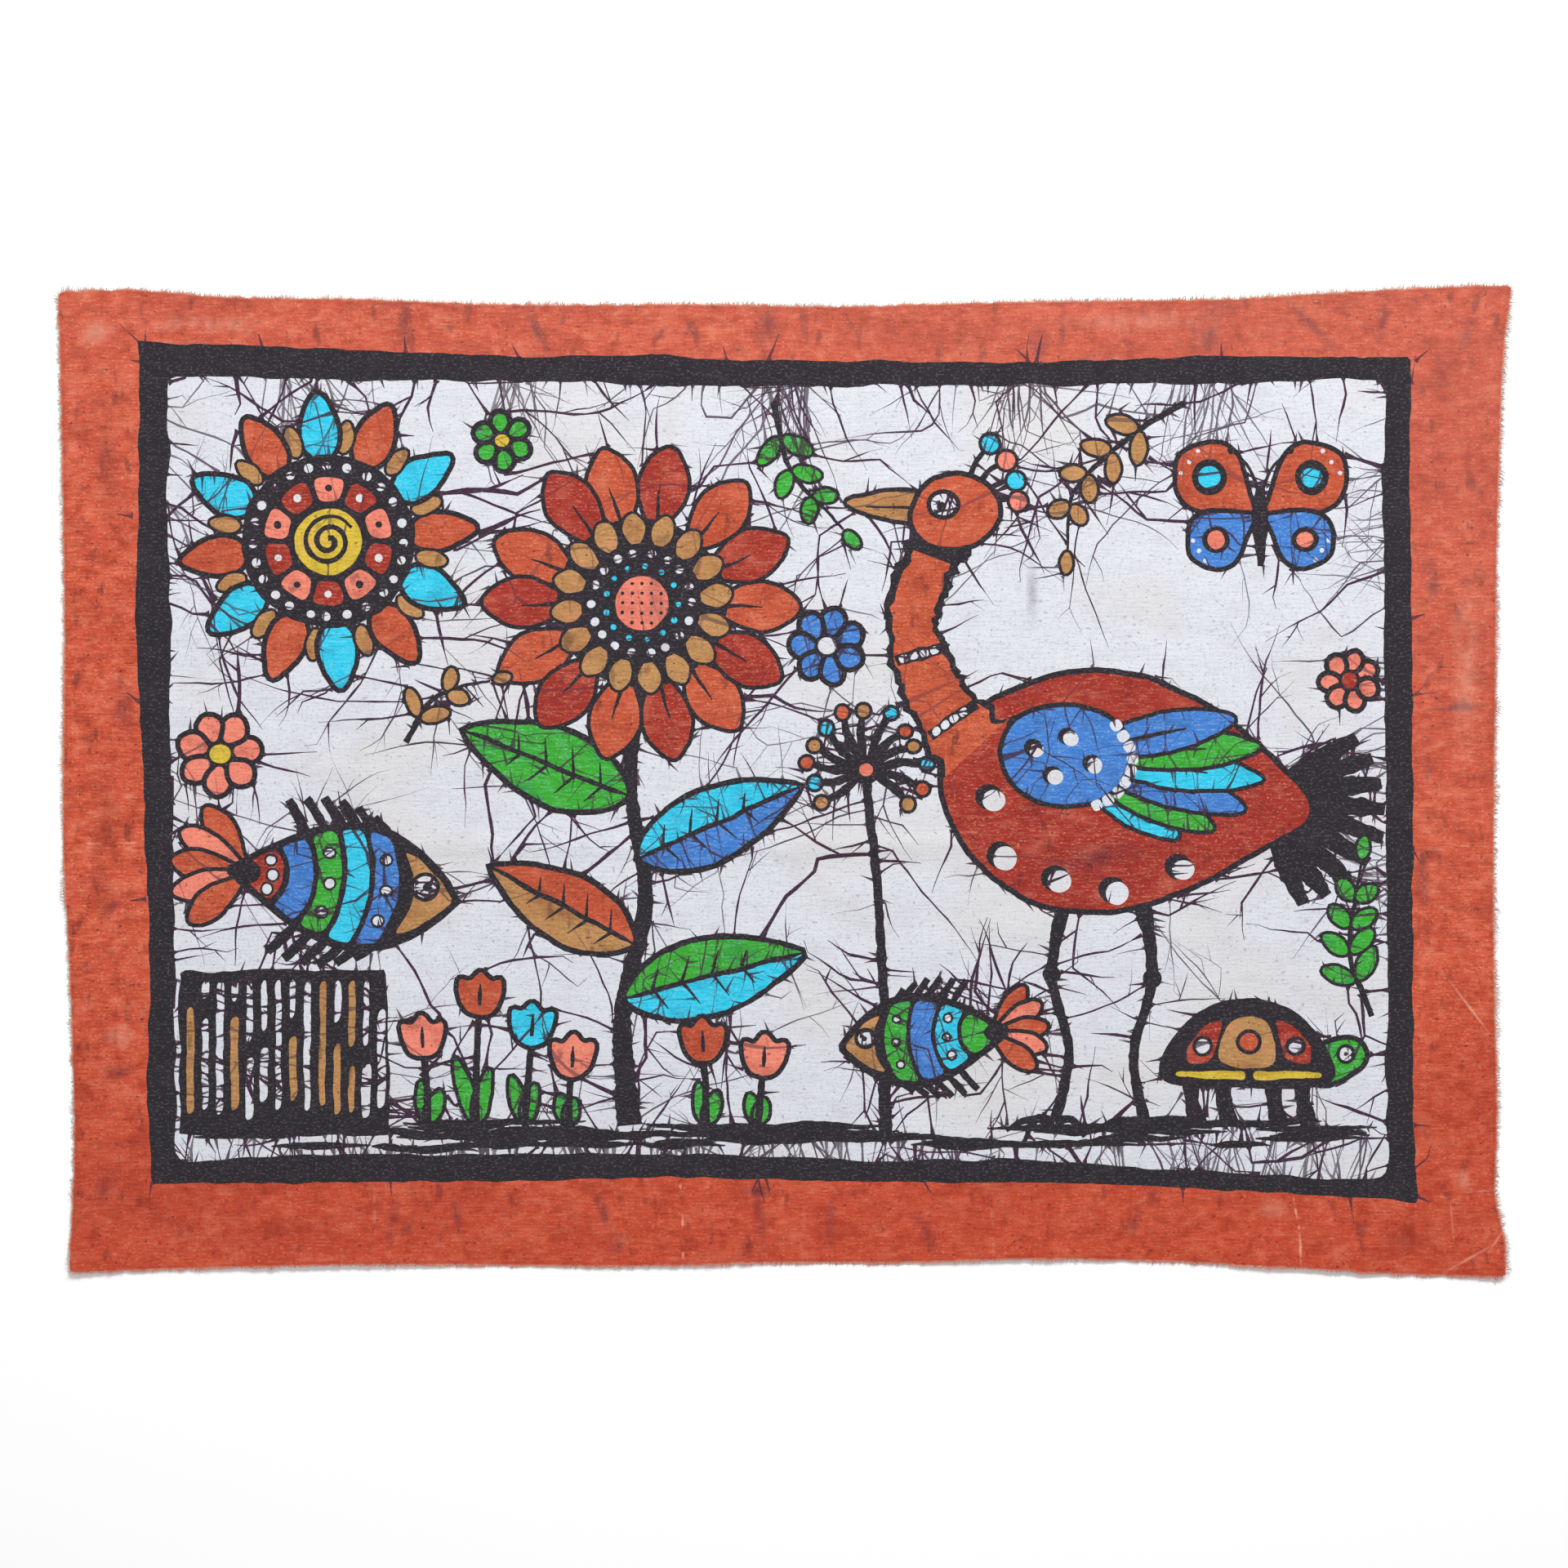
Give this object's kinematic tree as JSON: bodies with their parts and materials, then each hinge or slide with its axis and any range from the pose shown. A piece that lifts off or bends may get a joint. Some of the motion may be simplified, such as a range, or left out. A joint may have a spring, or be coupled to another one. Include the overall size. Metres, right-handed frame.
{
  "type": "batik cloth",
  "caption": "Flat panel of wax-dyed cotton with raw edges, a plain dyed border, a dark frame and a decorated ground.",
  "frame": {"origin": "on the surface that the cloth lies on, under the middle of its outline", "axes": "+X across the cloth to the right, +Y up its picture, +Z out of its face"},
  "size_m": [0.7509, 0.5124, 0.0046],
  "materials": {
    "dyed_cotton": "matte"
  },
  "bodies": {
    "root": {"cloth": "dyed_cotton"}
  },
  "joints": []
}
